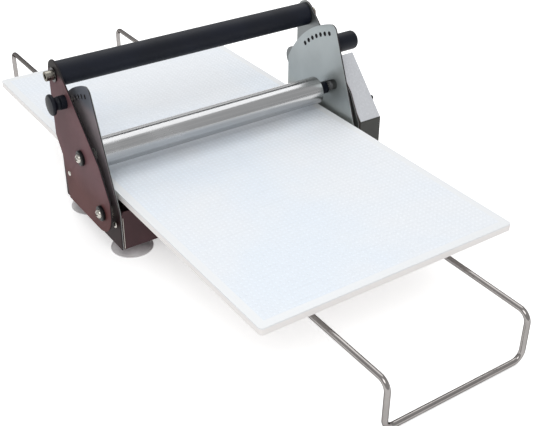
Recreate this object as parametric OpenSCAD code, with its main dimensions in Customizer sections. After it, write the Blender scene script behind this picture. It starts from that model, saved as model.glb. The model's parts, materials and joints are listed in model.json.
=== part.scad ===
// Manual dough sheeter: a sliding board runs under a free-turning roller,
// and a swinging handle frame sets the roller's height in steps.
// Millimetres, +Z up, +Y away from the near end of the board, +X to the right.

/* [Board] */
// board width across the machine
board_w = 300; // [240:1:360]
// board length along the travel
board_l = 604; // [400:1:700]
// board thickness
board_t = 8; // [5:0.5:15]
// underside of the board above the table
board_z = 73.5; // [65:0.5:85]
// middle of the board at rest
board_y = -25; // [-60:0.5:60]
// radius of the board's upright corners
board_corner_r = 4; // [1:0.5:12]
// space between the board and each side plate
board_side = 5; // [1:0.5:10]

/* [Base] */
// sheet thickness of the side plates and arms
sheet_t = 2; // [1.5:0.5:4]
// lower edge of the side plates above the table
plate_z = 19; // [12:0.5:30]
// front edge of the side plates
plate_front_y = -72; // [-90:0.5:-60]
// rear edge of the side plates
plate_rear_y = 69; // [60:0.5:90]
// radius of the curved top, about the pivot
plate_top_r = 133.5; // [128:0.5:145]
// lean of the sloping front edge from upright, degrees
plate_lean_angle = 21.6; // [15:0.1:30]
// radius of the upper front corner
plate_corner_r = 9; // [4:0.5:15]
// direction of the upper front corner's centre from the pivot, degrees
plate_corner_angle = 74.8; // [74:0.1:80]
// wall of the folded tray
tray_t = 2; // [1:0.5:3]
// underside of the tray above the table
tray_z = 16; // [10:0.5:20]
// top of the tray's walls
tray_top_z = 62.5; // [50:0.5:63]
// tray's front behind the plates' front edge
tray_front_in = 4; // [1:0.5:10]
// tray's rear ahead of the plates' rear edge
tray_rear_in = 0.5; // [0.5:0.5:10]
// chamfer on the upper corners of the tray's front and rear walls
tray_chamfer = 5; // [2:0.5:8]

/* [Feet] */
// radius of a suction foot
foot_r = 23.5; // [15:0.5:25]
// radius of a foot's neck
foot_neck_r = 8; // [6:0.5:14]
// height of a foot's flared skirt
foot_skirt_h = 9; // [5:0.5:12]
// skirt thickness at the rim
foot_rim = 2.5; // [1.5:0.5:4]
// feet inside the side plates
foot_side_in = 22.5; // [20:0.5:60]
// front feet
foot_front_y = -44.5; // [-60:0.5:-30]
// rear feet
foot_rear_y = 60; // [30:0.5:60]

/* [Handle frame] */
// pivot of the arms along the travel
pivot_y = -50; // [-60:0.5:-40]
// pivot of the arms above the table
pivot_z = 58; // [50:0.5:65]
// gap between the left side plate and its arm
left_gap = 7; // [2:0.5:10]
// gap between the right side plate and its arm
right_gap = 3; // [2:0.5:10]
// lower edge of the arms
arm_low_z = 32; // [28:0.5:40]
// radius of the rounded nose at the pivot
nose_r = 32; // [25:0.5:36]
// centre of the nose along the travel
nose_y = -38.5; // [-45:0.5:-35]
// upper end of the upright front edge
arm_front_z = 79; // [70:0.5:90]
// bend of the front edge along the travel
arm_bend_y = -51; // [-60:0.5:-45]
// bend of the front edge above the table
arm_bend_z = 113; // [105:0.5:120]
// rear edge of the upper arm
arm_rear_y = 58; // [52:0.5:65]
// lower end of the upper arm's rear edge
arm_step_z = 104; // [95:0.5:115]
// rear edge of the lower arm at its upper end
arm_waist_y = 43.5; // [38:0.5:50]
// upper end of the lower arm's rear edge
arm_waist_z = 82; // [75:0.5:92]
// lower rear corner of the arm
arm_heel_y = 38.5; // [30:0.5:44]
// radius of the arm's rounded top
arm_top_r = 16; // [12:0.5:20]
// how far the sloping edge cuts into the rounded top
arm_top_cut = 0.1; // [0.05:0.05:1]
// rounded lobe on the right arm's rear edge, radius
lobe_r = 13.5; // [10:0.5:16]
// lobe's centre along the travel
lobe_y = 67; // [60:0.5:70]
// lobe's centre above the table
lobe_z = 116; // [110:0.5:125]
// handle bar along the travel
handle_y = 42; // [35:0.5:48]
// handle bar above the table
handle_z = 181.5; // [175:0.5:195]
// radius of the handle bar
handle_r = 13.5; // [10:0.5:16]
// edge rounding of the handle bar
handle_edge = 1.5; // [0.5:0.5:3]
// radius of the handle bolts
handle_bolt_r = 4; // [3:0.5:5]
// length of a handle bolt inside the bar
handle_bolt_l = 20; // [10:1:40]
// rivet in the lower arm along the travel
rivet_y = 31; // [20:0.5:36]
// rivet in the lower arm above the table
rivet_z = 67; // [50:0.5:75]
// radius of the rivet's shank
rivet_r = 2; // [1:0.5:3]
// radius of the rivet's head
rivet_head_r = 3; // [2:0.5:5]
// height of the rivet's head
rivet_head_h = 1.2; // [0.5:0.1:2]

/* [Roller] */
// radius of the roller
roller_r = 16.25; // [12:0.25:20]
// space between the roller and the left side plate
roller_left_end = 1.5; // [0.5:0.5:20]
// space between the roller and the right side plate
roller_right_end = 14; // [2:0.5:20]
// wall of the roller tube
roller_wall = 4.5; // [1.5:0.25:6]
// length of a roller end plug
plug_l = 14; // [8:1:30]
// opening between roller and board at rest
roller_gap = 7.5; // [6.8:0.1:12]
// roller axis along the travel
roller_y = -9.4; // [-15:0.1:0]
// radius of the fixed axle
axle_r = 5; // [4:0.5:5.5]
// outside radius of the bush beside the roller
bush_r = 7.4; // [6:0.1:10]
// outside radius of the spacers between plates and arms
spacer_r = 9.5; // [7:0.5:12]

/* [Height setting] */
// number of index holes
index_count = 7; // [5:1:9]
// angle between index holes, degrees
index_step_angle = 4.28; // [4:0.01:5]
// direction of the rearmost hole from the pivot, degrees
index_first_angle = 46.8; // [45:0.1:50]
// number of the hole used at rest, counted from the rear
index_rest = 3; // [1:1:7]
// index holes inside the curved top
index_inset = 10.8; // [8:0.1:14]
// radius of an index hole
index_hole_r = 2.8; // [2.5:0.1:4]
// depth of the index holes in the side plates
index_depth = 1.2; // [0.5:0.1:1.5]
// half the width of the axle's curved slot
slot_half = 6; // [5.8:0.1:9]
// spare angle at each end of the slot, degrees
slot_spare_angle = 1; // [0.5:0.1:3]
// radius of the plunger's shaft
plunger_r = 4; // [3:0.5:5]
// radius of the plunger's tip
plunger_tip_r = 2.5; // [1.5:0.1:2.7]
// length of the plunger's tip
plunger_tip_l = 3; // [2:0.5:5]
// radius of the plunger's neck and sleeve
plunger_neck_r = 7.5; // [6:0.5:9]
// length of the plunger's fixed sleeve
plunger_sleeve_l = 6.5; // [4:0.5:12]
// length of the plunger knob's neck
plunger_neck_l = 6.2; // [4:0.1:14]
// radius of the plunger knob's end
plunger_knob_r = 11.5; // [9:0.5:14]
// thickness of the plunger knob's end
plunger_knob_l = 5.5; // [4:0.5:10]
// clamp knob inside the curved top
clamp_inset = 25; // [22:0.1:32]
// radius of the clamp knob
clamp_knob_r = 11.5; // [9:0.5:12]
// length of the clamp knob
clamp_knob_l = 41; // [25:0.5:45]
// rounding of the clamp knob's end
clamp_round = 4; // [2:0.5:6]
// depth of the clamp stud in its knob
clamp_grip = 12; // [8:1:20]
// length of the clamp knob's boss
clamp_boss_l = 9; // [2:0.5:14]

/* [Side cover] */
// depth of the side cover
cover_d = 30.5; // [18:0.5:36]
// wall of the side cover
cover_t = 1.5; // [1:0.5:2.5]
// front of the side cover
cover_front_y = -71.5; // [-78:0.5:-70]
// lower edge of the side cover
cover_low_z = 36; // [33:0.5:42]
// lower end of the cover's slope
cover_slope_z = 80.4; // [75:0.1:90]
// upper end of the cover's slope ahead of the clamp knob
cover_top_ahead = 23.7; // [18:0.1:30]
// upper end of the cover's slope below the clamp knob
cover_top_below = 4; // [0:0.1:12]
// rear of the side cover behind the clamp knob
cover_rear_behind = 12.3; // [2:0.1:18]
// upper end of the cover's rear edge below the clamp knob
cover_rear_below = 41.3; // [35:0.1:50]

/* [Support wires] */
// radius of the support wires
wire_r = 3; // [2:0.25:4]
// wires left and right of the middle
wire_x = 83; // [60:0.1:110]
// wire axis above the table
wire_z = 55.6; // [40:0.1:55.8]
// legs in front of and behind the middle
wire_leg_y = 417; // [350:1:450]
// bend radius of the wires
wire_bend = 12; // [8:0.5:20]
// inner end of the wires
wire_in_y = 48; // [46:0.5:60]
// outside radius of a wire socket
socket_r = 5; // [4:0.5:6]

/* [Support rollers] */
// radius of the rollers under the board
under_r = 7; // [6:0.1:7.2]
// space between these rollers and each side plate
under_end = 7; // [3:0.5:14]
// rollers in front of and behind the middle
under_y = 38; // [34:0.5:39]
// radius of their axles
under_axle_r = 3; // [2:0.5:4]

/* [Fasteners] */
// radius of a bush washer
washer_r = 8.5; // [7.5:0.5:11]
// thickness of a bush washer
washer_t = 3.5; // [2:0.5:6]
// radius of a screw head
screw_head_r = 5; // [4:0.5:7]
// height of a screw head
screw_head_h = 3.5; // [2:0.5:5]
// radius of a screw's shank
screw_r = 3; // [2:0.5:4]
// depth of a screw in what it holds
screw_in = 6; // [4:0.5:12]
// width of a cross recess
cross_w = 1.2; // [0.8:0.1:2]
// depth of a cross recess
cross_d = 1.6; // [1:0.1:2.5]
// radius of a socket bolt's head
cap_r = 5.4; // [4:0.1:8]
// height of a socket bolt's head
cap_h = 8.5; // [5:0.5:10]
// radius of the socket, to its corners
socket_hex_r = 3; // [2:0.1:4]
// depth of the socket
socket_hex_d = 4; // [2:0.5:5]
// radius of a flat washer
flat_r = 8; // [6:0.5:10]
// thickness of a flat washer
flat_t = 1.5; // [1:0.5:3]
// radius of a small screw head
small_head_r = 3.5; // [3:0.25:5]
// height of a small screw head
small_head_h = 2; // [1.5:0.1:3]
// radius of a small screw's shank
small_r = 1.5; // [1:0.25:2]
// small side screws behind the plates' front edge
side_screw_front = 12; // [8:0.5:25]
// small side screws ahead of the plates' rear edge
side_screw_rear = 17; // [8:0.5:25]
// small side screws above the table
side_screw_z = 45; // [30:0.5:55]
// radius of the cover's screw head
cover_screw_r = 3; // [2:0.25:4]
// height of the cover's screw head
cover_screw_h = 1.2; // [0.6:0.1:3]

/* [Fits] */
// running clearance of shafts, on the radius
run = 0.05; // [0.01:0.01:0.1]
// open space between pieces that move past each other
clear = 0.3; // [0.3:0.05:0.6]
// clearance of the wires in the tray's holes, on the radius
wire_fit = 0.15; // [0.1:0.05:0.3]

/* [Hidden] */
$fn = 64;
cut = 1;
inside_w = board_w + 2 * board_side;
plate_in = inside_w / 2;
plate_out = plate_in + sheet_t;
roller_x0 = roller_left_end - plate_in;
roller_x1 = plate_in - roller_right_end;
roller_z = board_z + board_t + roller_gap + roller_r;
lever_r = norm([roller_y - pivot_y, roller_z - pivot_z]);
lever_a = atan2(roller_z - pivot_z, roller_y - pivot_y);
slot_low = lever_a - (index_rest - 1) * index_step_angle - slot_spare_angle;
slot_sweep = (index_count - 1) * index_step_angle + 2 * slot_spare_angle;
rest_a = index_first_angle + (index_rest - 1) * index_step_angle;
index_r = plate_top_r - index_inset;
under_l = inside_w - 2 * under_end;
under_z = board_z - clear - under_r;
tray_front_y = plate_front_y + tray_front_in;
tray_rear_y = plate_rear_y - tray_rear_in;
foot_x = plate_in - foot_side_in;
side_screw_y = [plate_front_y + side_screw_front, plate_rear_y - side_screw_rear];
left_in = plate_out + left_gap;
left_out = left_in + sheet_t;
right_in = plate_out + right_gap;
right_out = right_in + sheet_t;
knob_start = left_out + plunger_sleeve_l + clear;
pin_tip = plate_out + clear;
pin_end = knob_start + plunger_neck_l;
left_reach = pin_end + plunger_knob_l;
clamp_start = right_out + clamp_boss_l + clear;
right_reach = clamp_start + clamp_knob_l;
middle_x = (right_reach - left_reach) / 2;

// a point at a distance and direction from the pivot
function from_pivot(r, a) = [pivot_y + r * cos(a), pivot_z + r * sin(a)];

pivot = [pivot_y, pivot_z];
axle = [roller_y, roller_z];
handle = [handle_y, handle_z];
rivet = [rivet_y, rivet_z];
plunger = from_pivot(index_r, rest_a);
clamp = from_pivot(plate_top_r - clamp_inset, rest_a);
cover_top = clamp - [cover_top_ahead, cover_top_below];
cover_rear = clamp + [cover_rear_behind, -cover_rear_below];
cover_line = [[cover_front_y, cover_low_z], [cover_rear[0], cover_low_z], cover_rear, cover_top,
    [cover_front_y, cover_slope_z]];

// where two lines meet, each given by a point and a direction
function meet(p, d, q, e) = p + d * ((q - p)[0] * e[1] - (q - p)[1] * e[0]) / (d[0] * e[1] - d[1] * e[0]);

// one side of an outline moved inwards, for outlines that run anticlockwise
function side_dir(pts, i) = (pts[(i + 1) % len(pts)] - pts[i]) / norm(pts[(i + 1) % len(pts)] - pts[i]);
function side_in(pts, i, d) = pts[i] + d * [-side_dir(pts, i)[1], side_dir(pts, i)[0]];
function inset(pts, d) = [for (i = [0 : len(pts) - 1])
    let (j = (i + len(pts) - 1) % len(pts))
    meet(side_in(pts, j, d), side_dir(pts, j), side_in(pts, i, d), side_dir(pts, i))];

// everything inside is drawn with Y to the right, Z up and X towards the viewer
module side_on(x) {
    translate([x, 0, 0]) rotate([90, 0, 90]) children();
}

// the same piece on the left-hand side
module to_left() {
    mirror([1, 0, 0]) children();
}

// a cylinder along X between two places
module rod_x(x0, x1, at, r) {
    side_on(x0) translate([at[0], at[1], 0]) cylinder(r = r, h = x1 - x0);
}

// a tube along X between two places
module tube_x(x0, x1, at, r, bore) {
    difference() {
        rod_x(x0, x1, at, r);
        rod_x(x0 - cut, x1 + cut, at, bore);
    }
}

// Board
module board() {
    low = [-board_w / 2, board_y - board_l / 2];
    inner = [board_w - 2 * board_corner_r, board_l - 2 * board_corner_r];
    color([0.93, 0.95, 0.96]) translate([low[0], low[1], board_z]) union() {
        translate([board_corner_r, 0, 0]) cube([inner[0], board_l, board_t]);
        translate([0, board_corner_r, 0]) cube([board_w, inner[1], board_t]);
        for (x = [board_corner_r, board_w - board_corner_r], y = [board_corner_r, board_l - board_corner_r])
            translate([x, y, 0]) cylinder(r = board_corner_r, h = board_t);
    }
}

// Side plates
module plate_blank() {
    corner = from_pivot(plate_top_r - plate_corner_r, plate_corner_angle);
    edge = corner + plate_corner_r * [-cos(plate_lean_angle), sin(plate_lean_angle)];
    drop = (edge[0] - plate_front_y) / sin(plate_lean_angle);
    knee = edge - drop * [sin(plate_lean_angle), cos(plate_lean_angle)];
    peak = from_pivot(plate_top_r, plate_corner_angle);
    high = [plate_rear_y, peak[1]];
    union() {
        intersection() {
            linear_extrude(sheet_t) polygon([[plate_front_y, plate_z], [plate_rear_y, plate_z], high, peak,
                edge, knee]);
            translate([pivot_y, pivot_z, 0]) cylinder(r = plate_top_r, h = sheet_t, $fn = 128);
        }
        translate([corner[0], corner[1], 0]) cylinder(r = plate_corner_r, h = sheet_t);
    }
}

module curved_slot() {
    translate([pivot_y, pivot_z, -cut]) {
        rotate([0, 0, slot_low]) rotate_extrude(angle = slot_sweep)
            translate([lever_r - slot_half, 0]) square([2 * slot_half, sheet_t + 2 * cut]);
        for (a = [slot_low, slot_low + slot_sweep])
            rotate([0, 0, a]) translate([lever_r, 0, 0]) cylinder(r = slot_half, h = sheet_t + 2 * cut);
    }
}

// a side plate whose blind index holes start at the given height
module side_plate(hole_from) {
    side_on(plate_in) difference() {
        plate_blank();
        curved_slot();
        for (i = [0 : index_count - 1]) {
            at = from_pivot(index_r, index_first_angle + i * index_step_angle);
            translate([at[0], at[1], hole_from]) cylinder(r = index_hole_r, h = index_depth + cut, $fn = 32);
        }
        translate([pivot_y, pivot_z, -cut]) cylinder(r = axle_r, h = sheet_t + 2 * cut);
        for (y = side_screw_y)
            translate([y, side_screw_z, -cut]) cylinder(r = small_r, h = sheet_t + 2 * cut, $fn = 24);
    }
}

module left_plate() {
    color([0.35, 0.3, 0.31]) to_left() side_plate(sheet_t - index_depth);
}

module right_plate() {
    color([0.62, 0.64, 0.64]) side_plate(-cut);
}

// Folded tray between the side plates
module base_tray() {
    size = [inside_w, tray_rear_y - tray_front_y, tray_top_z - tray_z];
    half = tray_chamfer / sqrt(2);
    color([0.32, 0.22, 0.24]) difference() {
        translate([-plate_in, tray_front_y, tray_z]) cube(size);
        translate([-plate_in + tray_t, tray_front_y + tray_t, tray_z + tray_t])
            cube([size[0] - 2 * tray_t, size[1] - 2 * tray_t, size[2]]);
        for (x = [-wire_x, wire_x])
            translate([x, tray_front_y - cut, wire_z]) rotate([-90, 0, 0])
                cylinder(r = wire_r + wire_fit, h = size[1] + 2 * cut);
        for (x = [-plate_in, plate_in])
            translate([x, tray_front_y - cut, tray_top_z]) rotate([0, 45, 0])
                translate([-half, 0, -half]) cube([2 * half, size[1] + 2 * cut, 2 * half]);
        for (s = [-1, 1], y = side_screw_y)
            translate([s * plate_in, y, side_screw_z]) rotate([0, 90, 0])
                cylinder(r = small_r, h = 3 * tray_t, center = true, $fn = 24);
    }
}

// Small screws that hold the side plates to the tray
module side_screws() {
    hold = sheet_t + tray_t;
    color([0.75, 0.75, 0.76]) for (s = [-1, 1], y = side_screw_y)
        translate([s * plate_out, y, side_screw_z]) rotate([0, s * 90, 0]) {
            cylinder(r = small_head_r, h = small_head_h, $fn = 32);
            translate([0, 0, -hold]) cylinder(r = small_r, h = hold + small_head_h / 2, $fn = 24);
        }
}

// Suction feet
module foot(x, y) {
    under = foot_skirt_h - foot_rim;
    over = foot_skirt_h + foot_rim / 2;
    color([0.6, 0.62, 0.62]) translate([x, y, 0]) rotate_extrude() polygon([[0, under], [foot_neck_r, under],
        [foot_r - foot_rim, 0], [foot_r, 0], [foot_r, foot_rim / 2], [foot_neck_r, over],
        [foot_neck_r, tray_z], [0, tray_z]]);
}

module foot_front_left() {
    foot(-foot_x, foot_front_y);
}

module foot_front_right() {
    foot(foot_x, foot_front_y);
}

module foot_rear_left() {
    foot(-foot_x, foot_rear_y);
}

module foot_rear_right() {
    foot(foot_x, foot_rear_y);
}

// Support wires: two rails, two legs and a bar on the table
module wire_half() {
    rail_l = wire_leg_y - wire_bend - wire_in_y;
    leg_top = wire_z - wire_bend;
    leg_low = wire_r + wire_bend;
    translate([wire_x, wire_in_y, wire_z]) rotate([-90, 0, 0]) cylinder(r = wire_r, h = rail_l);
    translate([wire_x, wire_leg_y - wire_bend, leg_top]) rotate([90, 0, 90])
        rotate_extrude(angle = 90) translate([wire_bend, 0]) circle(r = wire_r);
    translate([wire_x, wire_leg_y, leg_low]) cylinder(r = wire_r, h = leg_top - leg_low);
    translate([wire_x - wire_bend, wire_leg_y, leg_low]) rotate([90, 0, 0]) rotate([0, 0, -90])
        rotate_extrude(angle = 90) translate([wire_bend, 0]) circle(r = wire_r);
    translate([0, wire_leg_y, wire_r]) rotate([0, 90, 0]) cylinder(r = wire_r, h = wire_x - wire_bend);
}

module wire_frame() {
    color([0.8, 0.8, 0.81]) union() {
        wire_half();
        to_left() wire_half();
    }
}

module wire_front() {
    mirror([0, 1, 0]) wire_frame();
}

module wire_rear() {
    wire_frame();
}

// Sockets inside the tray that take the wires
module wire_socket(x, y0, y1) {
    translate([x, y0, wire_z]) rotate([-90, 0, 0]) difference() {
        cylinder(r = socket_r, h = y1 - y0);
        translate([0, 0, -cut]) cylinder(r = wire_r + wire_fit, h = y1 - y0 + 2 * cut);
    }
}

module wire_sockets() {
    inner_end = wire_in_y - tray_t;
    color([0.6, 0.6, 0.61]) for (x = [-wire_x, wire_x]) {
        wire_socket(x, tray_front_y + tray_t, -inner_end);
        wire_socket(x, inner_end, tray_rear_y - tray_t);
    }
}

// Rollers that carry the board
module under_axles() {
    color([0.7, 0.7, 0.71]) for (y = [-under_y, under_y])
        rod_x(-plate_in, plate_in, [y, under_z], under_axle_r);
}

module under_roller(y) {
    color([0.85, 0.86, 0.85]) tube_x(-under_l / 2, under_l / 2, [y, under_z], under_r, under_axle_r + run);
}

module under_roller_front() {
    under_roller(-under_y);
}

module under_roller_rear() {
    under_roller(under_y);
}

// Pivots of the arms
module pivot_stud(inner, outer) {
    color([0.7, 0.7, 0.71]) difference() {
        union() {
            rod_x(plate_in, outer + clear, pivot, axle_r);
            rod_x(plate_out, inner - clear, pivot, washer_r);
        }
        rod_x(outer + clear - screw_in, outer + clear + cut, pivot, screw_r);
    }
}

// a black bush washer on the outside of an arm
module bush_washer(x, at) {
    color([0.1, 0.1, 0.11]) tube_x(x, x + washer_t, at, washer_r, screw_r);
}

// a round-headed screw with a cross recess
module cross_screw(x, at) {
    head = x + washer_t;
    color([0.78, 0.78, 0.79]) difference() {
        union() {
            rod_x(x - screw_in, head, at, screw_r);
            rod_x(head, head + screw_head_h, at, screw_head_r);
        }
        side_on(head + screw_head_h - cross_d) translate([at[0], at[1], 0]) for (a = [0, 90])
            rotate([0, 0, a]) translate([-screw_head_r / 2, -cross_w / 2, 0])
                cube([screw_head_r, cross_w, cross_d + cut]);
    }
}

module pivot_stud_left() {
    to_left() pivot_stud(left_in, left_out);
}

module pivot_stud_right() {
    pivot_stud(right_in, right_out);
}

module pivot_washer_left() {
    to_left() bush_washer(left_out + clear, pivot);
}

module pivot_washer_right() {
    bush_washer(right_out + clear, pivot);
}

module pivot_screw_left() {
    to_left() cross_screw(left_out + clear, pivot);
}

module pivot_screw_right() {
    cross_screw(right_out + clear, pivot);
}

// Arms
module arm_blank() {
    bend = [arm_bend_y, arm_bend_z];
    reach = norm(bend - handle);
    top_r = arm_top_r - arm_top_cut;
    slope = atan2(handle_z - arm_bend_z, handle_y - arm_bend_y) + asin(top_r / reach);
    crown = handle + top_r * [-sin(slope), cos(slope)];
    nose_z = arm_low_z + nose_r;
    front_y = nose_y - nose_r;
    union() {
        linear_extrude(sheet_t) polygon([[nose_y, arm_low_z], [arm_heel_y, arm_low_z],
            [arm_waist_y, arm_waist_z], [arm_rear_y, arm_step_z], [arm_rear_y, handle_z], crown, bend,
            [front_y, arm_front_z], [front_y, nose_z]]);
        translate([nose_y, nose_z, 0]) cylinder(r = nose_r, h = sheet_t, $fn = 96);
        translate([handle_y, handle_z, 0]) cylinder(r = arm_top_r, h = sheet_t);
    }
}

// the holes of an arm, with one for the knob on its side
module arm_holes(knob_at) {
    for (h = [[pivot, axle_r + run], [axle, axle_r], [handle, handle_bolt_r + run], [rivet, rivet_r],
            [knob_at, plunger_r + run]])
        translate([h[0][0], h[0][1], -cut]) cylinder(r = h[1], h = sheet_t + 2 * cut);
}

module left_arm() {
    color([0.46, 0.34, 0.35]) to_left() side_on(left_in) difference() {
        arm_blank();
        arm_holes(plunger);
    }
}

module right_arm() {
    color([0.62, 0.64, 0.64]) side_on(right_in) difference() {
        union() {
            arm_blank();
            translate([lobe_y, lobe_z, 0]) cylinder(r = lobe_r, h = sheet_t);
        }
        arm_holes(clamp);
    }
}

module arm_rivet(inner, outer) {
    rod_x(inner, outer, rivet, rivet_r);
    rod_x(outer, outer + rivet_head_h, rivet, rivet_head_r);
}

module arm_rivets() {
    color([0.8, 0.8, 0.8]) {
        to_left() arm_rivet(left_in, left_out);
        arm_rivet(right_in, right_out);
    }
}

// Handle bar and its bolts
module handle_rim() {
    side_on(-handle_edge) translate([handle_y, handle_z, 0]) rotate_extrude()
        translate([handle_r - handle_edge, 0]) circle(r = handle_edge, $fn = 32);
}

module handle_bar() {
    color([0.1, 0.1, 0.12]) difference() {
        union() {
            rod_x(-left_in + handle_edge, right_in - handle_edge, handle, handle_r);
            rod_x(-left_in, right_in, handle, handle_r - handle_edge);
            translate([right_in, 0, 0]) handle_rim();
            translate([-left_in, 0, 0]) to_left() handle_rim();
        }
        rod_x(right_in - handle_bolt_l, right_in + cut, handle, handle_bolt_r + run);
        rod_x(-left_in - cut, -left_in + handle_bolt_l, handle, handle_bolt_r + run);
    }
}

module handle_bolt(inner, outer) {
    head = outer + flat_t;
    color([0.75, 0.75, 0.76]) difference() {
        union() {
            rod_x(inner - handle_bolt_l, head, handle, handle_bolt_r);
            rod_x(head, head + cap_h, handle, cap_r);
        }
        side_on(head + cap_h - socket_hex_d) translate([handle_y, handle_z, 0])
            cylinder(r = socket_hex_r, h = socket_hex_d + cut, $fn = 6);
    }
}

module handle_bolt_left() {
    to_left() handle_bolt(left_in, left_out);
}

module handle_bolt_right() {
    handle_bolt(right_in, right_out);
}

module handle_washers() {
    color([0.7, 0.7, 0.71]) {
        to_left() tube_x(left_out, left_out + flat_t, handle, flat_r, handle_bolt_r + run);
        tube_x(right_out, right_out + flat_t, handle, flat_r, handle_bolt_r + run);
    }
}

// Roller on its fixed axle
module roller_axle() {
    color([0.7, 0.7, 0.71]) difference() {
        rod_x(-left_out, right_out, axle, axle_r);
        rod_x(right_out - screw_in, right_out + cut, axle, screw_r);
        rod_x(-left_out - cut, -left_out + screw_in, axle, screw_r);
    }
}

// black bush between the roller and the right side plate
module axle_bush() {
    color([0.1, 0.1, 0.12]) tube_x(roller_x1 + clear, plate_in - clear, axle, bush_r, axle_r + run);
}

// spacers that keep the arms clear of the side plates, white on the left
module axle_spacer(inner) {
    tube_x(plate_out + clear, inner, axle, spacer_r, axle_r + run);
}

module axle_spacer_left() {
    color([0.9, 0.9, 0.88]) to_left() axle_spacer(left_in);
}

module axle_spacer_right() {
    color([0.1, 0.1, 0.12]) axle_spacer(right_in);
}

module axle_washer_left() {
    to_left() bush_washer(left_out, axle);
}

module axle_washer_right() {
    bush_washer(right_out, axle);
}

module axle_screw_left() {
    to_left() cross_screw(left_out, axle);
}

module axle_screw_right() {
    cross_screw(right_out, axle);
}

module roller_tube() {
    color([0.78, 0.78, 0.79]) tube_x(roller_x0, roller_x1, axle, roller_r, roller_r - roller_wall);
}

module roller_plugs() {
    color([0.9, 0.9, 0.88]) {
        tube_x(roller_x0, roller_x0 + plug_l, axle, roller_r - roller_wall, axle_r + run);
        tube_x(roller_x1 - plug_l, roller_x1, axle, roller_r - roller_wall, axle_r + run);
    }
}

// Index plunger on the left arm
module plunger_sleeve() {
    color([0.12, 0.12, 0.13]) to_left()
        tube_x(left_out, left_out + plunger_sleeve_l, plunger, plunger_neck_r, plunger_r + run);
}

module plunger_pin() {
    color([0.75, 0.75, 0.76]) to_left() union() {
        rod_x(pin_tip, pin_tip + plunger_tip_l, plunger, plunger_tip_r);
        rod_x(pin_tip + plunger_tip_l, pin_end, plunger, plunger_r);
    }
}

module plunger_knob() {
    color([0.1, 0.1, 0.12]) to_left() difference() {
        union() {
            rod_x(knob_start, pin_end, plunger, plunger_neck_r);
            rod_x(pin_end, left_reach, plunger, plunger_knob_r);
        }
        rod_x(knob_start - cut, pin_end, plunger, plunger_r);
    }
}

// Clamp knob on the right arm
module clamp_boss() {
    color([0.7, 0.7, 0.71])
        tube_x(right_out, right_out + clamp_boss_l, clamp, plunger_neck_r, plunger_r + run);
}

module clamp_stud() {
    color([0.75, 0.75, 0.76]) rod_x(pin_tip, clamp_start + clamp_grip, clamp, plunger_r);
}

module clamp_knob() {
    side = clamp_knob_l - clamp_round;
    face = clamp_knob_r - clamp_round;
    color([0.1, 0.1, 0.12]) difference() {
        side_on(clamp_start) translate([clamp[0], clamp[1], 0]) rotate_extrude() union() {
            square([clamp_knob_r, side]);
            square([face, clamp_knob_l]);
            translate([face, side]) circle(r = clamp_round);
        }
        rod_x(clamp_start - cut, clamp_start + clamp_grip, clamp, plunger_r);
    }
}

// Cover over the pivot and axle ends of the right arm
module side_cover() {
    color([0.76, 0.77, 0.79]) side_on(right_out) difference() {
        linear_extrude(cover_d) polygon(cover_line);
        translate([0, 0, -cut]) linear_extrude(cover_d - cover_t + cut) polygon(inset(cover_line, cover_t));
    }
}

// Small screw at the cover's upper edge
module cover_screw() {
    low = [cover_front_y, cover_slope_z];
    along = low + (cover_top - low) / 3;
    at = along + [0, -cover_screw_r];
    color([0.2, 0.2, 0.21])
        rod_x(right_out + cover_d, right_out + cover_d + cover_screw_h, at, cover_screw_r);
}

translate([-middle_x, 0, 0]) {
    board();
    left_plate();
    right_plate();
    base_tray();
    side_screws();
    foot_front_left();
    foot_front_right();
    foot_rear_left();
    foot_rear_right();
    wire_front();
    wire_rear();
    wire_sockets();
    under_axles();
    under_roller_front();
    under_roller_rear();
    pivot_stud_left();
    pivot_stud_right();
    pivot_washer_left();
    pivot_washer_right();
    pivot_screw_left();
    pivot_screw_right();
    left_arm();
    right_arm();
    arm_rivets();
    handle_bar();
    handle_bolt_left();
    handle_bolt_right();
    handle_washers();
    roller_axle();
    axle_bush();
    axle_spacer_left();
    axle_spacer_right();
    axle_washer_left();
    axle_washer_right();
    axle_screw_left();
    axle_screw_right();
    roller_tube();
    roller_plugs();
    plunger_sleeve();
    plunger_pin();
    plunger_knob();
    clamp_boss();
    clamp_stud();
    clamp_knob();
    side_cover();
    cover_screw();
}
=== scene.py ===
import bpy, bmesh, json, math
from mathutils import Vector, Matrix


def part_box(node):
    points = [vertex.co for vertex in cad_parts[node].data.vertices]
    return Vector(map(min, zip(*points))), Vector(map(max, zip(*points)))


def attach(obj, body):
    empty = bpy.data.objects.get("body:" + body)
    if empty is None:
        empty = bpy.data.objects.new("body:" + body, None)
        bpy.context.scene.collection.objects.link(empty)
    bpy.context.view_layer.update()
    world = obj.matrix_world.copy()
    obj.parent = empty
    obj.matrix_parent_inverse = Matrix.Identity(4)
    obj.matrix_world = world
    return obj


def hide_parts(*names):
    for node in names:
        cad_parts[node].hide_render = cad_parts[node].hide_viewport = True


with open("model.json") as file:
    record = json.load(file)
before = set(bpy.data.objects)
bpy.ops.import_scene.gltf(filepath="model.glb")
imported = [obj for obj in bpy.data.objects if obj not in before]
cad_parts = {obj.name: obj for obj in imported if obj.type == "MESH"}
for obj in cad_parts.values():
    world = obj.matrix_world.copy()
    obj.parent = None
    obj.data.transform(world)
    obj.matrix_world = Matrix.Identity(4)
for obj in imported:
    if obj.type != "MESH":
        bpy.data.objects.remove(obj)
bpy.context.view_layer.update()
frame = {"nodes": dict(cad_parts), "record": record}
nodes = frame["nodes"]
slotOf = {s["node"]: s["material_slot"] for s in frame["record"]["subparts"]}
scene = bpy.context.scene
scene.view_settings.view_transform = "Standard"
mm = 0.001


def times(tone, factor):  # a colour made lighter or darker
    return tuple(c * factor for c in tone)


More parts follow.
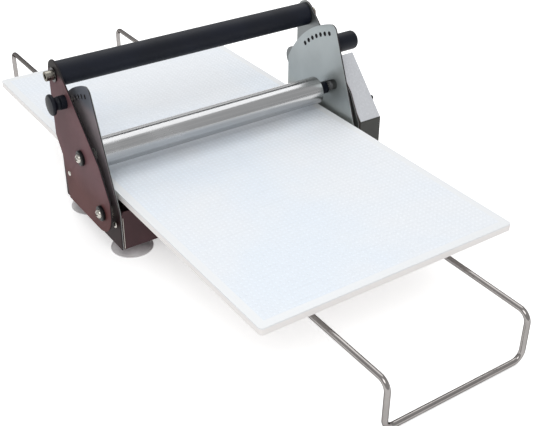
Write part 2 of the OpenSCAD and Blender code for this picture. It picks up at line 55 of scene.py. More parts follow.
class Sock:  # one output of a shader tree, with plain maths
    def __init__(self, finish, out):
        self.finish, self.out = finish, out

    def calc(self, operation, first, second):
        return self.finish.node("ShaderNodeMath", {"operation": operation}, {0: first, 1: second})

    def __add__(self, other):
        return self.calc("ADD", self, other)

    def __sub__(self, other):
        return self.calc("SUBTRACT", self, other)

    def __rsub__(self, other):
        return self.calc("SUBTRACT", other, self)

    def __mul__(self, other):
        return self.calc("MULTIPLY", self, other)

    __radd__, __rmul__ = __add__, __mul__

    def lesser(self, other):
        return self.calc("MINIMUM", self, other)

    def greater(self, other):
        return self.calc("MAXIMUM", self, other)

    def ramp(self, low, high):  # 0 at low, 1 at high, smooth between
        return self.finish.node("ShaderNodeMapRange", {"interpolation_type": "SMOOTHSTEP"},
                                {"Value": self, "From Min": low, "From Max": high})


class Finish:  # a material being put together
    def __init__(self, name, **plain):
        self.material = bpy.data.materials.new(name)
        self.material.use_nodes = True
        self.tree = self.material.node_tree
        self.shader = next(n for n in self.tree.nodes if n.type == "BSDF_PRINCIPLED")
        for key, value in plain.items():
            self.shader.inputs[key.replace("_", " ")].default_value = value
        self.place = self.node("ShaderNodeTexCoord", out="Object")

    def node(self, kind, settings=None, values=None, out=0):
        made = self.tree.nodes.new(kind)
        for key, value in (settings or {}).items():
            setattr(made, key, value)
        for key, value in (values or {}).items():
            if isinstance(value, Sock):
                self.tree.links.new(value.out, made.inputs[key])
            else:
                made.inputs[key].default_value = value
        return Sock(self, made.outputs[out])

    def feed(self, **links):
        for key, value in links.items():
            self.tree.links.new(value.out, self.shader.inputs[key.replace("_", " ")])

    def axis(self, letter):  # one coordinate of the object, in metres
        return self.node("ShaderNodeSeparateXYZ", None, {0: self.place}, letter)

    def noise(self, scale, detail=3.0, stretch=(1, 1, 1), rough=0.5):
        spot = self.node("ShaderNodeMapping", None, {"Vector": self.place, "Scale": stretch})
        return self.node("ShaderNodeTexNoise", None,
                         {"Vector": spot, "Scale": scale, "Detail": detail, "Roughness": rough})

    def mix(self, factor, first, second):
        put = lambda v: v if isinstance(v, Sock) else (*v, 1)
        values = {0: factor, 6: put(first), 7: put(second)}
        return self.node("ShaderNodeMix", {"data_type": "RGBA"}, values, 2)

    def cloudy(self, tone, spread, scale=16):  # a tone that drifts a little lighter and darker
        drift = self.noise(scale, 4).ramp(0.3, 0.7)
        return self.mix(drift, times(tone, 1 - spread), times(tone, 1 + spread))

    def bump(self, height, strength, distance):
        self.feed(Normal=self.node("ShaderNodeBump", None,
                                   {"Height": height, "Strength": strength, "Distance": distance}))
        return self.material


class Growth:  # a Geometry Nodes tree that grows a piece
    def __init__(self, name):
        self.name, self.sizes = name, {}
        self.tree = bpy.data.node_groups.new(name, "GeometryNodeTree")
        for way in ("INPUT", "OUTPUT"):
            self.tree.interface.new_socket("Geometry", in_out=way, socket_type="NodeSocketGeometry")
        self.begin = self.tree.nodes.new("NodeGroupInput")
        self.end = self.tree.nodes.new("NodeGroupOutput")
        self.given = self.begin.outputs["Geometry"]

    def size(self, label, value, kind="NodeSocketFloat"):  # a named input and its value
        made = self.tree.interface.new_socket(label, in_out="INPUT", socket_type=kind)
        self.sizes[made.identifier] = value
        return self.begin.outputs[label]

    def node(self, kind, settings=None, values=None, out=0):
        made = self.tree.nodes.new(kind)
        for key, value in (settings or {}).items():
            setattr(made, key, value)
        for key, value in (values or {}).items():
            for one in value if isinstance(value, list) else [value]:
                if isinstance(one, bpy.types.NodeSocket):
                    self.tree.links.new(one, made.inputs[key])
                else:
                    made.inputs[key].default_value = one
        return made.outputs[out]

    def attach(self, obj):
        modifier = obj.modifiers.new(self.name, "NODES")
        modifier.node_group = self.tree
        for identifier, value in self.sizes.items():
            modifier[identifier] = value
        return modifier

    def grow(self, shape, source, finish):  # realised, with its finish, as a plain mesh
        whole = self.node("GeometryNodeRealizeInstances", None, {"Geometry": shape})
        done = self.node("GeometryNodeSetMaterial", None, {"Geometry": whole, "Material": finish})
        self.tree.links.new(done, self.end.inputs["Geometry"])
        scene.collection.objects.link(source)
        modifier = self.attach(source)
        bpy.context.view_layer.update()
        mesh = bpy.data.meshes.new_from_object(source.evaluated_get(bpy.context.evaluated_depsgraph_get()))
        source.modifiers.remove(modifier)
        bpy.data.objects.remove(source)
        return mesh


def addPiece(name, mesh, body, slot, *stands):
    obj = bpy.data.objects.new(name, mesh)
    scene.collection.objects.link(obj)
    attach(obj, body)
    if stands:
        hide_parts(*stands)
    print("piece", name, len(mesh.polygons), "faces on", body)
    return obj


def arc(middle, radius, start, stop, count=8):  # profile points round a corner, in degrees
    turns = [math.radians(start + (stop - start) * i / count) for i in range(count + 1)]
    return [(middle[0] + radius * math.cos(a), middle[1] + radius * math.sin(a)) for a in turns]


def lathe(bm, profile, place, steps=72):  # radii and heights in mm, spun round Z and put in place
    turns = [math.tau * i / steps for i in range(steps)]
    rings = []
    for radius, height in profile:
        spots = [(radius * mm * math.cos(a), radius * mm * math.sin(a), height * mm)
                 for a in (turns if radius else turns[:1])]
        rings.append([bm.verts.new(place @ Vector(spot)) for spot in spots])
    for a, b in zip(rings, rings[1:]):
        for i in range(steps):
            quad = [a[i % len(a)], a[(i + 1) % len(a)], b[(i + 1) % len(b)], b[i % len(b)]]
            face = list(dict.fromkeys(quad))
            if len(face) > 2:
                bm.faces.new(face)


def turnedMesh(name, bm, finish, sharp=50, merge=0.001 * mm):
    bmesh.ops.remove_doubles(bm, verts=bm.verts, dist=merge)
    bmesh.ops.recalc_face_normals(bm, faces=bm.faces)
    mesh = bpy.data.meshes.new(name)
    bm.to_mesh(mesh)
    bm.free()
    mesh.materials.append(finish)
    mesh.shade_smooth()
    mesh.set_sharp_from_angle(angle=math.radians(sharp))
    return mesh


def middleOf(node):
    low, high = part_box(node)
    return (low + high) / 2


boardLow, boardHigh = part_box("board")
boardMid = middleOf("board")


def outward(node, x):  # axis along X away from the middle, starting at x
    spot = middleOf(node)
    side = 1 if spot.x > boardMid.x else -1
    return Matrix.Translation((x, spot.y, spot.z)) @ Matrix.Rotation(side * math.pi / 2, 4, "Y")


# camera at the photograph's fitted view, measured from the middle of the board
shot = {"place": (-499.9, -828.1, 520.5), "turn": 34.03, "down": 32.32, "roll": 0.28,
        "focal": 958.5, "wide": 533}  # the last two in pixels
cam = bpy.data.cameras.new("camera")
camObj = bpy.data.objects.new("camera", cam)
scene.collection.objects.link(camObj)
scene.camera = camObj
cam.sensor_width = 36
cam.lens = shot["focal"] / shot["wide"] * cam.sensor_width
cam.clip_start, cam.clip_end = 0.01, 50
camObj.location = boardMid + Vector(shot["place"]) * mm
turned = Matrix.Rotation(math.radians(-shot["turn"]), 4, "Z")
tilted = Matrix.Rotation(math.radians(90 - shot["down"]), 4, "X")
rolled = Matrix.Rotation(math.radians(shot["roll"]), 4, "Z")
camObj.rotation_euler = (turned @ tilted @ rolled).to_euler()
print("camera lens", round(cam.lens, 2))

# board
boardLook = {"cool": (0.785, 0.85, 0.928), "warm": (0.835, 0.864, 0.903), "low": (0.62, 0.65, 0.68),
             "side": (0.88, 0.85, 0.835), "plain": (0.8, 0.82, 0.838), "rim": 9 * mm, "rimFade": 1 * mm,
             "sideFade": (-2 * mm, -0.6 * mm), "dotFade": (0.12 * mm, 0.04 * mm),  # from the upper face
             "valleyShade": 0.2, "mottle": 0.03, "worn": 0.12}


def boardPlastic(look):
    f = Finish("boardPlastic", IOR=1.5)
    x, y, z = f.axis("X"), f.axis("Y"), f.axis("Z")
    edge = (x - boardLow.x).lesser(boardHigh.x - x).lesser(y - boardLow.y).lesser(boardHigh.y - y)
    top = z.ramp(*(boardHigh.z + d for d in look["sideFade"]))
    field = edge.ramp(look["rim"] - look["rimFade"], look["rim"] + look["rimFade"]) * top
    valleyShade = z.ramp(*(boardHigh.z + d for d in look["dotFade"])) * field  # ground between the dots, darkened as painted shade
    drift, fine = f.noise(7, 4), f.noise(1100, 2)
    worn = f.noise(1.0, 3, (14, 260, 60)).ramp(0.58, 0.78) * field  # faint marks
    tone = f.mix(drift.ramp(0.35, 0.65), look["cool"], look["warm"])
    mottle = f.noise(150, 2).ramp(0.4, 0.62) * field  # soft unevenness of the embossing
    # worn marks and mottle are the board's own; the darker ground between the dots is painted shade
    marksAndShade = worn * look["worn"] + valleyShade * look["valleyShade"] + mottle * look["mottle"]
    tone = f.mix(marksAndShade, f.mix(field, look["plain"], tone), look["low"])
    # the side faces take a warm tone of their own, partly the cut edge's colour and partly painted shade
    f.feed(Base_Color=f.mix(top, look["side"], tone), Roughness=0.34 + field * 0.1 + drift * 0.12)
    return f.bump(fine, 0.12, 0.12 * mm)


boardWhite = boardPlastic(boardLook)

# raised dots over the board's upper face
dotLook = {"pitch": 5.2 * mm, "base": 1.9 * mm, "top": 1.15 * mm, "tall": 0.24 * mm, "sunk": 0.06 * mm,
           "margin": 11 * mm, "sides": 6}


def growDots(look):
    across = boardHigh.x - boardLow.x - 2 * look["margin"]
    along = boardHigh.y - boardLow.y - 2 * look["margin"]
    g = Growth("boardDots")
    width, length = g.size("Across", across), g.size("Along", along)
    manyX = g.size("Count Across", int(across / look["pitch"]), "NodeSocketInt")
    manyY = g.size("Count Along", int(along / look["pitch"]), "NodeSocketInt")
    base, top = g.size("Dot Base", look["base"]), g.size("Dot Top", look["top"])
    tall = g.size("Dot Height", look["tall"] + look["sunk"])
    level = g.size("Level", boardHigh.z - look["sunk"])
    grid = g.node("GeometryNodeMeshGrid", None,
                  {"Size X": width, "Size Y": length, "Vertices X": manyX, "Vertices Y": manyY})
    lift = g.node("ShaderNodeCombineXYZ", None, {"X": boardMid.x, "Y": boardMid.y, "Z": level})
    field = g.node("GeometryNodeTransform", None, {"Geometry": grid, "Translation": lift})
    dot = g.node("GeometryNodeMeshCone", {"fill_type": "NGON"},
                 {"Vertices": look["sides"], "Radius Top": top, "Radius Bottom": base, "Depth": tall})
    spread = g.node("GeometryNodeInstanceOnPoints", None, {"Points": field, "Instance": dot})
    return g.grow(spread, bpy.data.objects.new("dotSource", bpy.data.meshes.new("dotSource")), boardWhite)


addPiece("boardDots", growDots(dotLook), "board", "board")

# sheet metal: a seen face at the lower x, a cut edge and a back; the dark edge tone on cut edges, hole walls
# and dimple floors is painted shade
cutLook = {"edge": (0.03, 0.028, 0.03), "bareAndLitEdge": (0.06, 0.057, 0.058), "skin": 0.3 * mm, "blend": 1.6,
           "rise": (55 * mm, 95 * mm)}  # the face goes from its tone to its high tone over this rise
plateLook = {"tone": (0.48, 0.512, 0.507), "high": (0.48, 0.512, 0.507), "spread": 0.07, "metal": 0.9,
             "rough": 0.36}
innerLook = {"tone": (0.3, 0.31, 0.3), "high": (0.29, 0.3, 0.295), "spread": 0.1, "metal": 0.9,
             "rough": 0.38}
# the arms' brown, darker low and lighter higher, is a painted reflection in the steel
armReflectionLook = {"tone": (0.106, 0.04, 0.039), "high": (0.14, 0.07, 0.078), "spread": 0.2, "metal": 0.1,
           "rough": 0.46, "crown": (0.04, 0.036, 0.036), "fade": (19 * mm, 11 * mm)}
# the left plate's seen face between arm and plate: near black low down, lighter above, bluish at the top;
# painted shade and painted reflection
stripShadeAndReflection = {"tone": (0.024, 0.008, 0.009), "high": (0.23, 0.2, 0.212), "spread": 0.16, "metal": 0.2,
             "rough": 0.4, "crown": (0.135, 0.145, 0.17), "fade": (30 * mm, 16 * mm)}
# near-black backs of the left arm and the right plate, facing across the gap between the sheets: painted
# shade
shadedBackLook = {"tone": (0.045, 0.036, 0.04), "spread": 0.12, "metal": 0.5}


def sheetSteel(name, node, face, back, level, edge=cutLook["edge"]):
    low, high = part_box(node)
    skin, blend = cutLook["skin"], cutLook["blend"]
    f = Finish(name, Specular_IOR_Level=level)
    z = f.axis("Z")
    depth, thick = f.axis("X") - low.x, high.x - low.x
    onFace = depth.ramp(skin * blend, skin)
    onBack = depth.ramp(thick - skin * blend, thick - skin)
    grain = f.noise(1.0, 4, (60, 60, 1300))
    smear = f.noise(9, 5, (1, 1, 0.5), 0.6)
    lower, upper = (f.cloudy(face[key], face["spread"]) for key in ("tone", "high"))
    shown = f.mix(z.ramp(*cutLook["rise"]), lower, upper)
    shown = f.mix(smear.ramp(0.5, 0.8) * 0.3, shown, times(face["high"], 1.5))  # wiped patches
    if "crown" in face:  # another tone towards the top; on the left plate it is a painted reflection
        start, stop = (high.z - drop for drop in face["fade"])
        shown = f.mix(z.ramp(start, stop), shown, f.cloudy(face["crown"], face["spread"]))
    # everything between face and back, cut edges, hole walls and dimple floors, takes the dark edge tone:
    # painted shade
    tone = f.mix(onBack, f.mix(onFace, edge, shown), f.cloudy(back["tone"], back["spread"]))
    f.feed(Base_Color=tone, Metallic=onFace * (face["metal"] - back["metal"]) + back["metal"],
           Roughness=face["rough"] - 0.08 + smear * 0.16 + grain * 0.06)
    return f.bump(grain, 0.05, 0.08 * mm)


# bare metals with a fine grain
alongX, alongY = (40, 1200, 1200), (900, 40, 900)  # ways that the grain runs
steelLook = {  # a rim below 1 darkens grazing views
    "screwSteel": {"tone": (0.5, 0.48, 0.44), "rough": 0.2, "rim": 1.0, "grain": alongX},
    "boltSteel": {"tone": (0.3, 0.285, 0.25), "rough": 0.2, "rim": 0.3, "grain": alongX},
    "wireSteel": {"tone": (0.31, 0.293, 0.285), "rough": 0.1, "rim": 0.1, "grain": alongY},
    "washerSteel": {"tone": (0.05, 0.047, 0.047), "rough": 0.26, "rim": 1.0, "grain": alongX},
}


def plainMetal(name, look):
    f = Finish(name, Metallic=1.0, Specular_Tint=(*times((1, 1, 1), look["rim"]), 1))
    grain = f.noise(1.0, 3, look["grain"])
    f.feed(Base_Color=f.cloudy(look["tone"], 0.08, 30), Roughness=look["rough"] + grain * 0.12)
    return f.bump(grain, 0.08, 0.05 * mm)


steels = {name: plainMetal(name, look) for name, look in steelLook.items()}

# roller
rollerTone = (0.46, 0.465, 0.472)


def rollerMetal(tone):  # drawn tube, with fine streaks along it and a few soft smears
    f = Finish("rollerAluminium", Metallic=1.0)
    streak = f.noise(1.0, 4, (5, 420, 420))
    smear = f.noise(22, 3).ramp(0.52, 0.75)
    drawn = f.mix(streak.ramp(0.3, 0.7), times(tone, 0.9), times(tone, 1.08))
    rubbed = f.mix(smear * 0.35, drawn, times(tone, 1.2))
    f.feed(Base_Color=rubbed, Roughness=0.16 + streak * 0.08 + smear * 0.1)
    return f.bump(streak, 0.03, 0.05 * mm)


# plastics and rubbers
plasticLook = {
    "knobPlastic": {"tone": (0.005, 0.0066, 0.0125), "rough": 0.4, "pores": 400, "pits": 0.08,
                    "shine": 0.22},
    "gripRubber": {"tone": (0.0045, 0.0064, 0.0135), "rough": 0.5, "pores": 700, "pits": 0.2, "shine": 0.3},
    "bushRubber": {"tone": (0.005, 0.005, 0.006), "rough": 0.36, "pores": 500, "pits": 0.06, "shine": 0.3},
    "greyPlastic": {"tone": (0.16, 0.165, 0.17), "rough": 0.42, "pores": 500, "pits": 0.06, "shine": 0.3},
    "bearingNylon": {"tone": (0.72, 0.72, 0.7), "rough": 0.4, "pores": 500, "pits": 0.04, "shine": 0.5},
    "underPlastic": {"tone": (0.5, 0.51, 0.5), "rough": 0.4, "pores": 500, "pits": 0.05, "shine": 0.5},
}
vinylLook = {"tone": (0.58, 0.555, 0.567), "rim": (0.78, 0.76, 0.765), "rimFade": (3 * mm, 0.5 * mm)}


def mouldedPlastic(name, look):
    f = Finish(name, IOR=1.45, Specular_IOR_Level=look["shine"])
    pits, worn = f.noise(look["pores"], 3), f.noise(40, 4)
    f.feed(Base_Color=f.cloudy(look["tone"], 0.2, 25), Roughness=look["rough"] - 0.06 + worn * 0.2)
    return f.bump(pits, look["pits"], 0.2 * mm)


def footVinyl(look):
    f = Finish("footVinyl", IOR=1.5)
    cloud = f.noise(60, 4)
    # a lighter band at the cup's lower rim: painted highlight
    litRim = f.axis("Z").ramp(*look["rimFade"])
    tone = f.mix(litRim, f.cloudy(look["tone"], 0.12, 70), look["rim"])
    f.feed(Base_Color=tone, Roughness=0.24 + cloud * 0.2)
    return f.bump(cloud, 0.1, 0.3 * mm)


plastics = {name: mouldedPlastic(name, look) for name, look in plasticLook.items()}
vinyl = footVinyl(vinylLook)

# painted sheet: the cover, its dark front a painted reflection and its seam painted shade; the tray, its
# brown a painted reflection
coverLook = {"pale": (0.58, 0.595, 0.625), "dark": (0.042, 0.042, 0.038), "front": (1.1 * mm, 0.6 * mm),
             "seamShade": (1.4 * mm, 0.7 * mm), "rise": 50 * mm}
# the tray's maroon brown is a painted reflection in the steel
trayReflectionTone = (0.056, 0.021, 0.025)


def coverPaint(look):  # pale panels, with a front darkened as a painted reflection
    f = Finish("coverPaint", IOR=1.5, Specular_IOR_Level=0.35)
    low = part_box("side_cover")[0]
    y, z = f.axis("Y"), f.axis("Z")
    speck, fine = f.noise(420, 2), f.noise(1500, 2)
    front = y.ramp(*(low.y + d for d in look["front"]))
    pale = f.mix(speck.ramp(0.4, 0.7), f.cloudy(look["pale"], 0.05), times(look["pale"], 1.06))
    # the painted reflection on the front, darker towards the bottom
    dark = f.mix(z.ramp(low.z, low.z + look["rise"]), times(look["dark"], 0.6), f.cloudy(look["dark"], 0.2))
    seamShade = f.axis("X").ramp(*(low.x + d for d in look["seamShade"]))  # painted shade along the edge against the arm
    f.feed(Base_Color=f.mix(front.greater(seamShade), pale, dark), Roughness=0.4 + speck * 0.12)
    return f.bump(fine, 0.06, 0.05 * mm)


def trayReflectionTint(tone):
    f = Finish("trayReflectionTint", Metallic=0.35)
    grain = f.noise(1.0, 3, (30, 900, 900))
    f.feed(Base_Color=f.cloudy(tone, 0.18), Roughness=0.36 + grain * 0.14)
    return f.bump(grain, 0.05, 0.1 * mm)


print("finishes", len(bpy.data.materials))

# bent support wires, one open run each
wireLook = {"radius": 3 * mm, "bend": 11 * mm, "sides": 20, "turnSteps": 10}


def runCurve(name, runs):  # straight runs through corner points
    curve = bpy.data.curves.new(name, "CURVE")
    curve.dimensions = "3D"
    for points in runs:
        spline = curve.splines.new("POLY")
        spline.points.add(len(points) - 1)
        for point, place in zip(spline.points, points):
            point.co = (*place, 1)
    return bpy.data.objects.new(name, curve)


def growTube(name, source, look, finish):
    g = Growth(name)
    thick, corner = g.size("Radius", look["radius"]), g.size("Bend", look["bend"])
    sides = g.size("Sides", look["sides"], "NodeSocketInt")
    steps = g.size("Turn Steps", look["turnSteps"], "NodeSocketInt")
    path = g.node("GeometryNodeFilletCurve", {"mode": "POLY"},
                  {"Curve": g.given, "Radius": corner, "Count": steps, "Limit Radius": True})
    ring = g.node("GeometryNodeCurvePrimitiveCircle", None, {"Resolution": sides, "Radius": thick})
    tube = g.node("GeometryNodeCurveToMesh", None,
                  {"Curve": path, "Profile Curve": ring, "Fill Caps": True})
    smooth = g.node("GeometryNodeSetShadeSmooth", None, {"Geometry": tube})
    return g.grow(smooth, source, finish)


def wireRun(node, way, r):  # corner points of one wire, from its solid's box
    low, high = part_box(node)
    legY, innerY = (low.y + r, high.y) if way < 0 else (high.y - r, low.y)
    left, right, top, table = low.x + r, high.x - r, high.z - r, low.z + r
    return [(left, innerY, top), (left, legY, top), (left, legY, table),
            (right, legY, table), (right, legY, top), (right, innerY, top)]


wireRuns = [wireRun("wire_front", -1, wireLook["radius"]), wireRun("wire_rear", 1, wireLook["radius"])]
wireMesh = growTube("supportWires", runCurve("wireRuns", wireRuns), wireLook, steels["wireSteel"])
addPiece("supportWires", wireMesh, "base", "wire", "wire_front", "wire_rear")

# folded lips at the ends of the tray's front and rear walls, in bright steel as a painted highlight along
# the folds
lipLook = {"radius": 0.55 * mm, "bend": 1 * mm, "sides": 10, "turnSteps": 2, "in": 3.4 * mm,
           "foot": 1.5 * mm, "head": 7 * mm}


def lipRuns(look):
    low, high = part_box("base_tray")
    return [[(x, y, low.z + look["foot"]), (x, y, high.z - look["head"])]
            for x in (low.x + look["in"], high.x - look["in"]) for y in (low.y, high.y)]


lipMesh = growTube("trayLips", runCurve("lipRuns", lipRuns(lipLook)), lipLook, steels["screwSteel"])
addPiece("trayLips", lipMesh, "base", "sheet_steel")

# suction feet
footLook = {"neck": 8, "collar": 10.5, "lip": 1.3, "cup": 6.2}


def suctionFeet(look, names):
    bm = bmesh.new()
    for name in names:
        low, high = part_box(name)
        spot, rim, tall = (low + high) / 2, (high.x - low.x) / 2 / mm, (high.z - low.z) / mm
        neck, lip, collar = look["neck"], look["lip"], look["collar"]
        under = [(0, look["cup"]), (neck, look["cup"] - 0.6), (rim * 0.72, 2.4), (rim - 2.2, 0.25),
                 (rim - 1.4, 0)]
        edge = arc((rim - lip / 2, lip / 2), lip / 2, -90, 90, 6)
        slope = [(rim - 2.4, lip + 0.35), (rim - 3.0, lip + 0.9), (rim * 0.74, 4.3), (rim * 0.6, 6.4),
                 (neck + 3.4, 8.2), (neck + 1.2, 9.4), (neck, 10.6)]
        stem = [(neck, tall - 4.6), (collar - 0.5, tall - 4.4), (collar, tall - 3.9), (collar, tall - 1.0),
                (collar - 0.6, tall - 0.3), (neck, tall), (0, tall)]
        lathe(bm, under + edge + slope + stem, Matrix.Translation((spot.x, spot.y, low.z)))
    return turnedMesh("suctionFeet", bm, vinyl)


feet = [n for n in nodes if n.startswith("foot_")]
addPiece("suctionFeet", suctionFeet(footLook, feet), "base", "feet", *feet)

# plunger knob with a waisted neck and a rounded mushroom end
plungerLook = {"neck": 7.5, "waist": 6.9, "disc": 5.5, "rim": 1.9, "dome": 0.9}


def plungerKnob(look):
    low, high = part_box("plunger_knob")
    head, tall = (high.z - low.z) / 2 / mm, (high.x - low.x) / mm
    neck, waist, rim, dome = look["neck"], look["waist"], look["rim"], look["dome"]
    under = tall - look["disc"]
    profile = [(0, 0), (neck - 0.5, 0), (neck, 0.5), (neck, 1.8), (waist, 2.6), (waist, under - 1.6),
               (waist + 0.6, under - 0.6), (waist + 2, under)]
    profile += arc((head - rim, under + rim), rim, -90, 0, 6)
    profile += arc((head - rim, tall - rim - dome), rim, 0, 84, 8)
    profile += [((head - rim) * k, tall - dome * k * k) for k in (0.8, 0.6, 0.4, 0.2, 0)]
    bm = bmesh.new()
    lathe(bm, profile, outward("plunger_knob", high.x))
    return turnedMesh("plungerMushroom", bm, plastics["knobPlastic"])


addPiece("plungerMushroom", plungerKnob(plungerLook), "plunger", "black_plastic", "plunger_knob")

# clamp knob, a plain barrel with a rounded end
clampLook = {"round": 4.0, "foot": 1.0, "dish": 0.4}


def clampKnob(look):
    low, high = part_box("clamp_knob")
    head, tall = (high.z - low.z) / 2 / mm, (high.x - low.x) / mm
    r, foot = look["round"], look["foot"]
    profile = [(0, 0), (head - foot - 0.6, 0)] + arc((head - foot, foot), foot, -90, 0, 5)
    profile += arc((head - r, tall - r), r, 0, 90, 10)
    profile += [(head * 0.5, tall), (head * 0.42, tall - look["dish"]), (0, tall - look["dish"])]
    bm = bmesh.new()
    lathe(bm, profile, outward("clamp_knob", low.x))
    return turnedMesh("clampBarrel", bm, plastics["knobPlastic"])


addPiece("clampBarrel", clampKnob(clampLook), "clamp", "black_plastic", "clamp_knob")

# rounded black bush rings under the pivot and axle screws
ringLook = {"bore": 3.0, "round": 1.3, "foot": 0.6}


def bushRings(look, names):
    bm = bmesh.new()
    for name in names:
        low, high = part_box(name)
        outer, tall = (high.z - low.z) / 2 / mm, (high.x - low.x) / mm
        bore, r, foot = look["bore"], look["round"], look["foot"]
        profile = [(bore, 0), (outer - foot - 0.2, 0)] + arc((outer - foot, foot), foot, -90, 0, 4)
        profile += arc((outer - r, tall - r), r, 0, 90, 8) + [(bore, tall), (bore, 0)]
        lathe(bm, profile, outward(name, low.x if middleOf(name).x > boardMid.x else high.x))
    return turnedMesh("bushRings", bm, plastics["bushRubber"])


for body in ("base", "handle_frame"):
    rings = [n for n in frame["record"]["behaviour"]["bodies"][body] if "_washer_" in n]
    addPiece(body + "Bushes", bushRings(ringLook, rings), body, "black_plastic", *rings)

# domed screw heads, one crossed head grown on each point
headLook = {"segments": 28, "rings": 14, "barWide": 0.26, "barLong": 1.15, "recess": 0.5, "sharp": 38,
            "small": 2 * mm, "big": 3.5 * mm, "rivet": 1.2 * mm,  # heights
            "apart": 14 * mm, "onEnd": 0.02 * mm}  # closer points make one head; slack at a solid's end
rivetLook = {**headLook, "recess": -0.5}  # no recess


def growHeads(name, spots, look):  # spots: place, outward direction, radius and height of each head
    source = bpy.data.meshes.new(name)
    source.from_pydata([s[0] for s in spots], [], [])
    facing = source.attributes.new("facing", "FLOAT_VECTOR", "POINT")
    size = source.attributes.new("headSize", "FLOAT_VECTOR", "POINT")
    for i, (way, radius, tall) in enumerate(s[1:] for s in spots):
        facing.data[i].vector = way
        size.data[i].vector = (radius, radius, tall)
    g = Growth(name)  # a ball of radius 1, less its lower half and two bars; each point scales it
    parts = g.size("Segments", look["segments"], "NodeSocketInt")
    levels = g.size("Rings", look["rings"], "NodeSocketInt")
    wide, long = g.size("Bar Width", look["barWide"]), g.size("Bar Length", look["barLong"])
    deep = g.size("Recess", look["recess"])
    ball = g.node("GeometryNodeMeshUVSphere", None, {"Segments": parts, "Rings": levels, "Radius": 1.0})
    block = g.node("GeometryNodeMeshCube", None, {"Size": (3, 3, 2)})
    below = g.node("GeometryNodeTransform", None, {"Geometry": block, "Translation": (0, 0, -1)})
    drop = g.node("ShaderNodeMath", {"operation": "SUBTRACT"}, {0: 2.0, 1: deep})
    shift = g.node("ShaderNodeCombineXYZ", None, {"Z": drop})
    bars = []
    for sideX, sideY in ((wide, long), (long, wide)):
        size3 = g.node("ShaderNodeCombineXYZ", None, {"X": sideX, "Y": sideY, "Z": 2.0})
        bar = g.node("GeometryNodeMeshCube", None, {"Size": size3})
        bars.append(g.node("GeometryNodeTransform", None, {"Geometry": bar, "Translation": shift}))
    head = g.node("GeometryNodeMeshBoolean", {"operation": "DIFFERENCE", "solver": "EXACT"},
                  {"Mesh 1": ball, "Mesh 2": [below, *bars]})
    way = g.node("GeometryNodeInputNamedAttribute", {"data_type": "FLOAT_VECTOR"}, {"Name": "facing"})
    scale = g.node("GeometryNodeInputNamedAttribute", {"data_type": "FLOAT_VECTOR"}, {"Name": "headSize"})
    turn = g.node("FunctionNodeAlignRotationToVector", {"axis": "Z"}, {"Vector": way})
    spread = g.node("GeometryNodeInstanceOnPoints", None,
                    {"Points": g.given, "Instance": head, "Rotation": turn, "Scale": scale})
    mesh = g.grow(spread, bpy.data.objects.new(name + "Source", source), steels["screwSteel"])
    mesh.shade_smooth()
    mesh.set_sharp_from_angle(angle=math.radians(look["sharp"]))
    return mesh


def headSpots(node, tall, sides=(-1, 1)):  # a spot for each separate head at the solid's ends
    low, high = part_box(node)
    spots = []
    for side in sides:
        x = low.x if side < 0 else high.x
        points = [v.co for v in nodes[node].data.vertices if abs(v.co.x - x) < headLook["onEnd"]]
        while points:
            near = [p for p in points if (p - points[0]).length < headLook["apart"]]
            points = [p for p in points if p not in near]
            ys, zs = [p.y for p in near], [p.z for p in near]
            spot = (x - side * tall, (min(ys) + max(ys)) / 2, (min(zs) + max(zs)) / 2)
            spots.append((spot, (side, 0, 0), (max(zs) - min(zs)) / 2, tall))
    return spots


def sideHeads(kind):  # the outer ends of a left and a right screw
    ends = (("_left", -1), ("_right", 1))
    return [spot for end, side in ends for spot in headSpots(kind + end, headLook["big"], (side,))]


baseSpots = headSpots("side_screws", headLook["small"]) + sideHeads("pivot_screw")
baseHeads = growHeads("baseScrewHeads", baseSpots, headLook)
frameHeads = growHeads("frameScrewHeads", sideHeads("axle_screw"), headLook)
rivetHeads = growHeads("rivetHeads", headSpots("arm_rivets", headLook["rivet"]), rivetLook)
addPiece("baseScrewHeads", baseHeads, "base", "screws",
         "side_screws", "pivot_screw_left", "pivot_screw_right")
addPiece("frameScrewHeads", frameHeads, "handle_frame", "screws", "axle_screw_left", "axle_screw_right")
addPiece("rivetHeads", rivetHeads, "handle_frame", "screws", "arm_rivets")

# finishes of the solids
finishes = {
    "board": boardWhite,
    "left_arm": sheetSteel("leftArmSteel", "left_arm", armReflectionLook, shadedBackLook, 0.05),
    # the left plate's paler cut edge is partly bare steel and partly a painted highlight
    "left_plate": sheetSteel("leftPlateSteel", "left_plate", stripShadeAndReflection, plateLook, 0.05,
                             cutLook["bareAndLitEdge"]),
    "right_arm": sheetSteel("rightArmSteel", "right_arm", innerLook, armReflectionLook, 0.1),
    "right_plate": sheetSteel("rightPlateSteel", "right_plate", plateLook, shadedBackLook, 0.3),
    "handle_washers": steels["washerSteel"],
    "handle_bolt_left": steels["boltSteel"],
    "handle_bolt_right": steels["boltSteel"],
    "base_tray": trayReflectionTint(trayReflectionTone),
    "side_cover": coverPaint(coverLook),
    "roller_tube": rollerMetal(rollerTone),
    "handle_bar": plastics["gripRubber"],
    "axle_spacer_right": plastics["greyPlastic"],
}
bySlot = {
    "screws": steels["screwSteel"],
    "wire": steels["wireSteel"],
    "feet": vinyl,
    "dark_screw": plastics["bushRubber"],
    "under_rollers": plastics["underPlastic"],
    "black_plastic": plastics["knobPlastic"],
    "bearings": plastics["bearingNylon"],
}
for name, obj in nodes.items():
    obj.data.materials.clear()
    obj.data.materials.append(finishes.get(name) or bySlot[slotOf[name]])

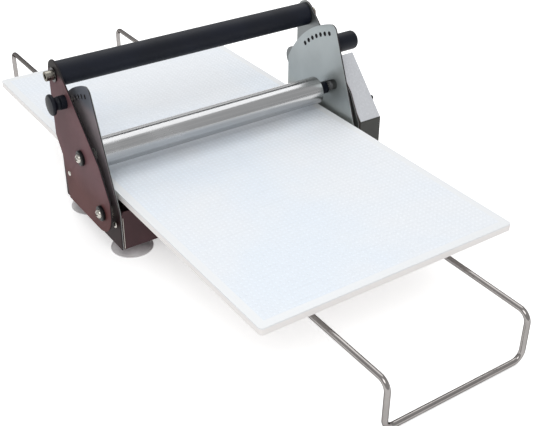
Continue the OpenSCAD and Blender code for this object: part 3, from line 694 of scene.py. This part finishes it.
# rounded edges and smooth shading on the solids
edgeLook = {"board": 1.8 * mm, "left_arm": 0.45 * mm, "right_arm": 0.45 * mm, "left_plate": 0.45 * mm,
            "right_plate": 0.45 * mm, "base_tray": 0.5 * mm, "side_cover": 0.7 * mm, "roller_tube": 0.9 * mm,
            "handle_bolt_left": 0.5 * mm, "handle_bolt_right": 0.5 * mm}
solidLook = {"weld": 0.002 * mm, "edge": 0.25 * mm, "segments": 3, "edgeFrom": 40, "smoothTo": 32}
shade = Growth("softShade")
limit = shade.size("Sharp Angle", math.radians(solidLook["smoothTo"]))
angle = shade.node("GeometryNodeInputMeshEdgeAngle")
gentle = shade.node("FunctionNodeCompare", {"operation": "LESS_THAN"}, {"A": angle, "B": limit})
edged = shade.node("GeometryNodeSetShadeSmooth", {"domain": "EDGE"},
                   {"Geometry": shade.given, "Shade Smooth": gentle})
soft = shade.node("GeometryNodeSetShadeSmooth", {"domain": "FACE"}, {"Geometry": edged})
shade.tree.links.new(soft, shade.end.inputs["Geometry"])
for name, obj in nodes.items():
    weld = obj.modifiers.new("weld", "WELD")
    weld.merge_threshold = solidLook["weld"]
    bevel = obj.modifiers.new("edge", "BEVEL")
    bevel.width = edgeLook.get(name, solidLook["edge"])
    bevel.segments = solidLook["segments"]
    bevel.limit_method = "ANGLE"
    bevel.angle_limit = math.radians(solidLook["edgeFrom"])
    shade.attach(obj)
    level = obj.modifiers.new("normals", "WEIGHTED_NORMAL")  # keeps flat sheets looking flat
    level.keep_sharp = True
print("edges rounded", len(nodes))

# floor and light
studio = {"world": 0.62, "floor": (0.9, 0.9, 0.9), "floorWide": 14, "floorDrop": 0.4 * mm, "lift": 0.5}
lamps = {"key": {"power": 8, "size": 1, "place": (-0.75, -1, 1.4), "target": (0, -0.2, 0.08)},
         "ceiling": {"power": 14, "size": 2, "place": (0.6, 0.7, 1.9), "target": (0, 0, 0.08)},
         "window": {"power": 3, "size": 1.7, "place": (0.6, 1.5, 1.4), "target": (0, 0, 0.08)}}


def makeFloor(look):
    bpy.ops.mesh.primitive_plane_add(size=look["floorWide"], location=(0, 0, -look["floorDrop"]))
    floor = bpy.context.object
    floor.name = "floor"
    f = Finish("floorPaper", Roughness=0.9, Specular_IOR_Level=0.0)
    f.feed(Base_Color=f.mix(f.noise(3, 2), look["floor"], times(look["floor"], 0.985)))
    camera, glossy, through = (f.node("ShaderNodeLightPath", out="Is " + kind + " Ray")
                               for kind in ("Camera", "Glossy", "Transmission"))
    seen = camera.greater(glossy).greater(through)
    glow = f.node("ShaderNodeEmission", None, {"Color": (1, 1, 1, 1), "Strength": seen * look["lift"]})
    both = f.node("ShaderNodeAddShader", None, {0: Sock(f, f.shader.outputs[0]), 1: glow})
    end = next(n for n in f.tree.nodes if n.type == "OUTPUT_MATERIAL")
    f.tree.links.new(both.out, end.inputs["Surface"])
    floor.data.materials.append(f.material)


def softLamp(name, look):
    lamp = bpy.data.lights.new(name, "AREA")
    lamp.shape, lamp.size, lamp.energy = "DISK", look["size"], look["power"]
    obj = bpy.data.objects.new(name, lamp)
    scene.collection.objects.link(obj)
    obj.location = look["place"]
    aim = Vector(look["target"]) - Vector(look["place"])
    obj.rotation_euler = aim.to_track_quat("-Z", "Y").to_euler()


world = bpy.data.worlds.new("studio")
scene.world = world
world.use_nodes = True
sky = world.node_tree.nodes["Background"]
sky.inputs["Color"].default_value = (1, 1, 1, 1)
sky.inputs["Strength"].default_value = studio["world"]
makeFloor(studio)
for name, look in lamps.items():
    softLamp(name, look)
print("studio set")
